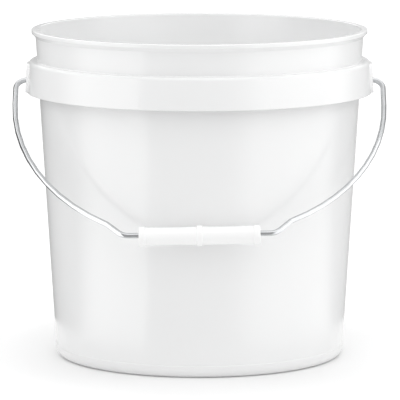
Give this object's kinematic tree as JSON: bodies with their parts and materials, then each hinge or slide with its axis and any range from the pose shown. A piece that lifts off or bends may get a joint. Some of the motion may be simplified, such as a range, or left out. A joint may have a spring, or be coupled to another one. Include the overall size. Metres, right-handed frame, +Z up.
{
  "type": "plastic bucket",
  "caption": "White two gallon plastic pail with a hollow ribbed collar, two ears, a bent wire bail and a loose plastic grip.",
  "frame": {"origin": "the middle of the foot ring, on the surface that the bucket stands on", "axes": "+Z up through the mouth, +X through the two ears, and the bail hangs in front, towards -Y"},
  "size_m": [0.2696, 0.2511, 0.238],
  "materials": {
    "bucket_plastic": "satin",
    "bail_wire": "polished",
    "grip_plastic": "satin"
  },
  "bodies": {
    "pail": {"bucket_body": "bucket_plastic"},
    "bail": {"wire_bail": "bail_wire"},
    "grip": {"hand_grip": "grip_plastic"}
  },
  "joints": [
    {"name": "bail_swing", "type": "hinge", "parent": "pail", "child": "bail", "pos_m": [0, 0, 0.2007], "axis": [-1, 0, 0], "range_deg": [0, 257.8]},
    {"name": "grip_spin", "type": "hinge", "parent": "bail", "child": "grip", "pos_m": [0, -0.1184, 0.10406], "axis": [0.9997, 0.019, 0.0154], "continuous": true}
  ]
}
